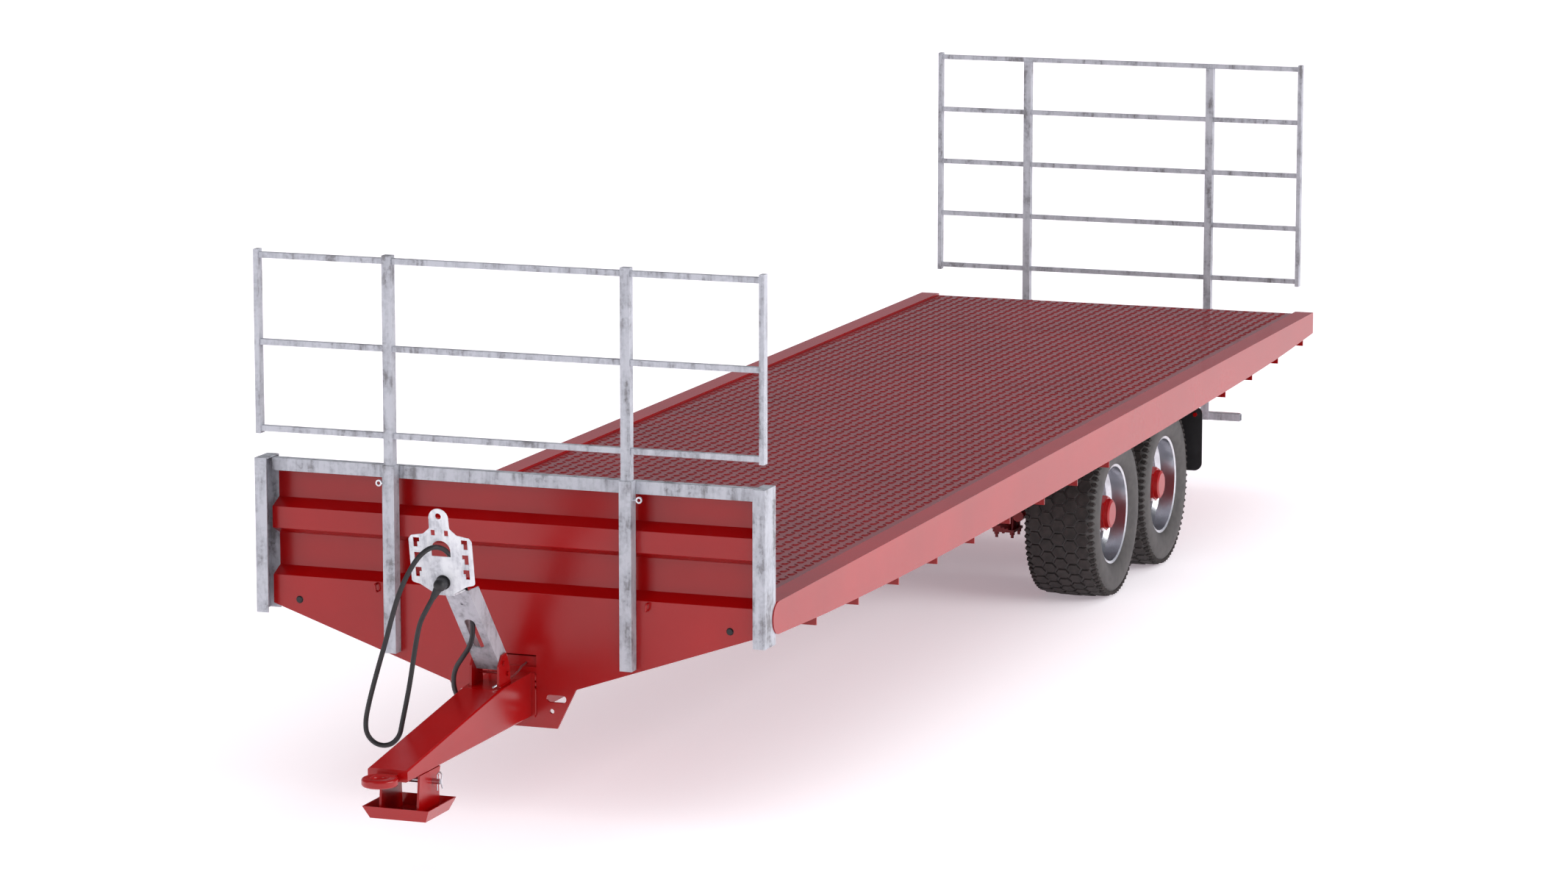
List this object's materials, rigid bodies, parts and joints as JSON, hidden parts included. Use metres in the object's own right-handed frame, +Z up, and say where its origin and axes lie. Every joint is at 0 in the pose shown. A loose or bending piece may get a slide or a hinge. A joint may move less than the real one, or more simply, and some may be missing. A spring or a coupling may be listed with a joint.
{
  "type": "flatbed bale trailer",
  "caption": "Tandem-axle flat bale trailer with ribbed headboard, lift-out galvanised racks front and rear, ring eye drawbar and rocking bogie.",
  "frame": {"origin": "on the ground, under the middle of the trailer's overall length and width", "axes": "+X forward to the towing eye, +Y to the left, +Z up"},
  "size_m": [10.872, 2.452, 2.513],
  "materials": {
    "red_paint": "gloss",
    "galvanised_steel": "hot-dip galvanised, matt",
    "spring_steel": "satin",
    "silver_wheel_paint": "satin silver",
    "tyre_rubber": "matt",
    "black_rubber": "matt",
    "lamp_lens": "gloss"
  },
  "bodies": {
    "chassis": {"cable_gland": "black_rubber", "cable_plug": "black_rubber", "carrier_lugs": "red_paint", "carrier_plate": "galvanised_steel", "carrier_post": "galvanised_steel", "cross_members": "red_paint", "deck_sheets": "red_paint", "drain_plugs": "black_rubber", "drawbar": "red_paint", "drawbar_plate": "red_paint", "drawbar_spine": "red_paint", "electric_cable": "black_rubber", "flap_brackets": "red_paint", "front_rack_sockets": "galvanised_steel", "headboard_posts": "galvanised_steel", "headboard_rail": "galvanised_steel", "headboard_sheet": "red_paint", "light_bar": "galvanised_steel", "main_beams": "red_paint", "mudflaps": "black_rubber", "parking_socket": "black_rubber", "rack_screws": "galvanised_steel", "rear_beam": "red_paint", "rear_rack_sockets": "red_paint", "rope_hooks": "red_paint", "side_rail_left": "red_paint", "side_rail_right": "red_paint", "skid_cheeks": "red_paint", "skid_tray": "red_paint", "spring_hangers": "red_paint", "suspension_pins": "spring_steel", "tail_lamps": "lamp_lens", "tow_eye": "red_paint"},
    "front_axle_group": {"front_axle": "red_paint", "front_brakes": "red_paint", "front_leaf_springs": "spring_steel", "front_spring_clamps": "spring_steel"},
    "front_rack": {"front_rack_frame": "galvanised_steel", "front_rack_uprights": "galvanised_steel"},
    "wheel_front_left": {"hub_front_left": "red_paint", "rim_front_left": "silver_wheel_paint", "tyre_front_left": "tyre_rubber"},
    "wheel_front_right": {"hub_front_right": "red_paint", "rim_front_right": "silver_wheel_paint", "tyre_front_right": "tyre_rubber"},
    "wheel_rear_left": {"hub_rear_left": "red_paint", "rim_rear_left": "silver_wheel_paint", "tyre_rear_left": "tyre_rubber"},
    "wheel_rear_right": {"hub_rear_right": "red_paint", "rim_rear_right": "silver_wheel_paint", "tyre_rear_right": "tyre_rubber"},
    "rear_axle_group": {"rear_axle": "red_paint", "rear_brakes": "red_paint", "rear_leaf_springs": "spring_steel", "rear_spring_clamps": "spring_steel"},
    "rear_rack": {"rear_rack_frame": "galvanised_steel", "rear_rack_uprights": "galvanised_steel"},
    "rocker_left_body": {"rocker_left": "red_paint"},
    "rocker_right_body": {"rocker_right": "red_paint"},
    "skid_pin": {"skid_pin": "galvanised_steel"}
  },
  "joints": [
    {"name": "front_axle_rock", "type": "hinge", "parent": "chassis", "child": "front_axle_group", "pos_m": [-1.3575, 0, 0.47448], "axis": [0, 1, 0], "range_deg": [-2.5, 2.5]},
    {"name": "rear_axle_rock", "type": "hinge", "parent": "chassis", "child": "rear_axle_group", "pos_m": [-3.1605, 0, 0.47448], "axis": [0, 1, 0], "range_deg": [-2.5, 2.5]},
    {"name": "rocker_left_tilt", "type": "hinge", "parent": "chassis", "child": "rocker_left_body", "pos_m": [-2.259, 0.48, 0.46735], "axis": [0, 1, 0], "range_deg": [-17.5, 17.5]},
    {"name": "rocker_right_tilt", "type": "hinge", "parent": "chassis", "child": "rocker_right_body", "pos_m": [-2.259, -0.48, 0.46735], "axis": [0, 1, 0], "range_deg": [-17.5, 17.5]},
    {"name": "wheel_front_left_spin", "type": "hinge", "parent": "front_axle_group", "child": "wheel_front_left", "pos_m": [-1.7875, 0.9, 0.45], "axis": [0, 1, 0], "continuous": true},
    {"name": "wheel_front_right_spin", "type": "hinge", "parent": "front_axle_group", "child": "wheel_front_right", "pos_m": [-1.7875, -0.9, 0.45], "axis": [0, 1, 0], "continuous": true},
    {"name": "wheel_rear_left_spin", "type": "hinge", "parent": "rear_axle_group", "child": "wheel_rear_left", "pos_m": [-2.7305, 0.9, 0.45], "axis": [0, 1, 0], "continuous": true},
    {"name": "wheel_rear_right_spin", "type": "hinge", "parent": "rear_axle_group", "child": "wheel_rear_right", "pos_m": [-2.7305, -0.9, 0.45], "axis": [0, 1, 0], "continuous": true},
    {"name": "front_rack_lift", "type": "slide", "parent": "chassis", "child": "front_rack", "axis": [0, 0, 1], "range_m": [0, 0.84]},
    {"name": "rear_rack_lift", "type": "slide", "parent": "chassis", "child": "rear_rack", "axis": [0, 0, 1], "range_m": [0, 0.24]},
    {"name": "skid_pin_float", "type": "slide", "parent": "chassis", "child": "skid_pin", "axis": [0, 1, 0], "range_m": [0, 0.03]}
  ],
  "couplings": [
    {"joint": "rear_axle_rock", "follows": "front_axle_rock", "ratio": 1},
    {"joint": "rocker_left_tilt", "follows": "front_axle_rock", "ratio": -6.9427},
    {"joint": "rocker_right_tilt", "follows": "front_axle_rock", "ratio": -6.9427}
  ]
}
